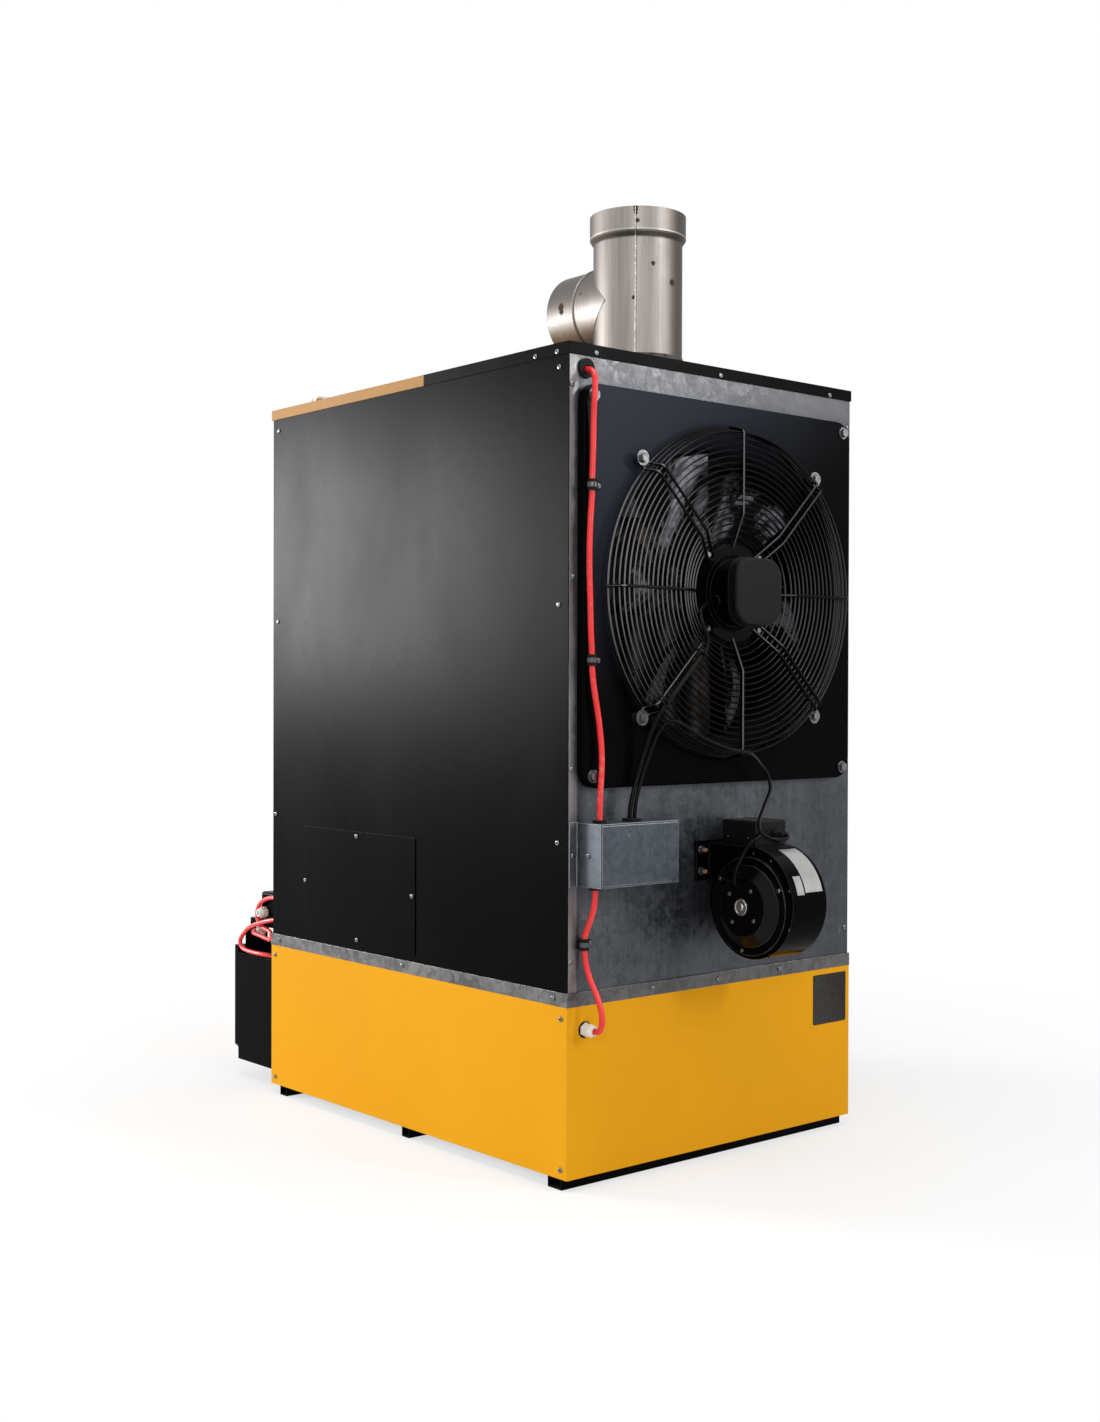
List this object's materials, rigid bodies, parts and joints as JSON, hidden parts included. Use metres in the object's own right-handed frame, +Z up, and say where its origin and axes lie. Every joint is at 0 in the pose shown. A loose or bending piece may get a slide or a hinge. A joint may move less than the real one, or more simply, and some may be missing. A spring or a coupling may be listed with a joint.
{
  "type": "waste oil heater",
  "caption": "Floor-standing oil-fired warm air heater: tank base, sheet casing, rear fan in a guard, combustion blower, louvred front outlet and a tee flue.",
  "frame": {"origin": "on the floor under the middle of the casing, on the underside of the middle foot rail", "axes": "+Z up; +Y to the rear face that carries the fan; +X across, to the side face with the service hatch"},
  "size_m": [0.6502, 1.1941, 1.544],
  "materials": {
    "yellow_paint": "satin powder coat",
    "black_paint": "satin powder coat with fine texture",
    "galvanised": "galvanised sheet with spangle",
    "stainless": "rolled stainless sheet with light rust marks",
    "zinc": "zinc plated",
    "inner_steel": "heat-stained steel",
    "cast": "cast",
    "gloss_black": "gloss black paint",
    "black_plastic": "fine moulded grain",
    "black_rubber": "matt",
    "red_rubber": "silicone cable sheath",
    "white_plastic": "moulded",
    "red_plastic": "moulded",
    "handle_chrome": "polished"
  },
  "bodies": {
    "heater": {"foot_rails": "black_paint", "side_panel_right": "black_paint", "side_panel_left": "black_paint", "side_hatch": "black_paint", "rear_top_cover": "black_paint", "outlet_frame": "black_paint", "pump_box": "black_paint", "pump_box_cover": "black_paint", "control_box": "black_paint", "fan_plate": "black_paint", "air_duct": "black_paint", "lid_hinges_fixed": "black_paint", "base_end_sheets": "yellow_paint", "base_side_sheets": "yellow_paint", "front_panel": "yellow_paint", "base_floor": "galvanised", "fuel_tank": "galvanised", "frame_members": "galvanised", "trim_strips": "galvanised", "deck_plate": "galvanised", "rear_panel": "galvanised", "junction_box": "galvanised", "flue_tee": "stainless", "draught_ring": "stainless", "rear_bolts": "zinc", "casing_screws": "zinc", "combustion_chamber": "inner_steel", "chamber_cover": "inner_steel", "heat_exchanger": "inner_steel", "filler_neck": "inner_steel", "burner_pot": "cast", "fuel_pump": "cast", "fan_guard": "gloss_black", "fan_motor": "gloss_black", "blower_scroll": "gloss_black", "blower_motor_cover": "gloss_black", "fan_motor_cap": "black_plastic", "blower_terminal_box": "black_plastic", "cable_grommets": "black_rubber", "cable_clips": "black_rubber", "fan_cable": "black_rubber", "blower_cable": "black_rubber", "fuel_hoses": "black_rubber", "red_cable_upper": "red_rubber", "red_cable_lower": "red_rubber", "control_cables": "red_rubber", "cable_glands": "white_plastic"},
    "lid": {"top_lid": "yellow_paint", "lid_fittings": "handle_chrome"},
    "vane_1": {"louvre_vane_1": "black_paint"},
    "vane_2": {"louvre_vane_2": "black_paint"},
    "vane_3": {"louvre_vane_3": "black_paint"},
    "vane_4": {"louvre_vane_4": "black_paint"},
    "flap": {"draught_flap": "stainless"},
    "fan": {"fan_impeller": "gloss_black"},
    "blower_wheel": {"blower_impeller": "gloss_black"},
    "cap": {"filler_cap": "black_plastic"},
    "selector": {"selector_knob": "black_plastic"},
    "switch": {"rocker_switch": "red_plastic"},
    "reset": {"reset_button": "red_plastic"}
  },
  "joints": [
    {"name": "lid_hinge", "type": "hinge", "parent": "heater", "child": "lid", "pos_m": [0, 0.056, 1.27], "axis": [-1, 0, 0], "range_deg": [0, 75]},
    {"name": "flap_hinge", "type": "hinge", "parent": "heater", "child": "flap", "pos_m": [0, 0.09, 1.408], "axis": [1, 0, 0], "range_deg": [0, 70]},
    {"name": "fan_spin", "type": "hinge", "parent": "heater", "child": "fan", "pos_m": [0, 0.4, 0.904], "axis": [0, 1, 0], "continuous": true},
    {"name": "blower_spin", "type": "hinge", "parent": "heater", "child": "blower_wheel", "pos_m": [0, 0.5145, 0.414], "axis": [1, 0, 0], "continuous": true},
    {"name": "cap_lift", "type": "slide", "parent": "heater", "child": "cap", "axis": [0, 0, 1], "range_m": [0, 0.06]},
    {"name": "selector_turn", "type": "hinge", "parent": "heater", "child": "selector", "pos_m": [0.278, -0.492, 0.333], "axis": [0, -1, 0], "range_deg": [-60, 60]},
    {"name": "switch_rock", "type": "hinge", "parent": "heater", "child": "switch", "pos_m": [0.205, -0.487, 0.333], "axis": [-1, 0, 0], "range_deg": [0, 16]},
    {"name": "reset_press", "type": "slide", "parent": "heater", "child": "reset", "axis": [0, 1, 0], "range_m": [0, 0.003], "stiffness_N_per_m": 300},
    {"name": "vane_1_tilt", "type": "hinge", "parent": "heater", "child": "vane_1", "pos_m": [0, -0.411, 0.8595], "axis": [1, 0, 0], "range_deg": [-45, 45]},
    {"name": "vane_2_tilt", "type": "hinge", "parent": "heater", "child": "vane_2", "pos_m": [0, -0.411, 0.9545], "axis": [1, 0, 0], "range_deg": [-45, 45]},
    {"name": "vane_3_tilt", "type": "hinge", "parent": "heater", "child": "vane_3", "pos_m": [0, -0.411, 1.0495], "axis": [1, 0, 0], "range_deg": [-45, 45]},
    {"name": "vane_4_tilt", "type": "hinge", "parent": "heater", "child": "vane_4", "pos_m": [0, -0.411, 1.1445], "axis": [1, 0, 0], "range_deg": [-45, 45]}
  ]
}
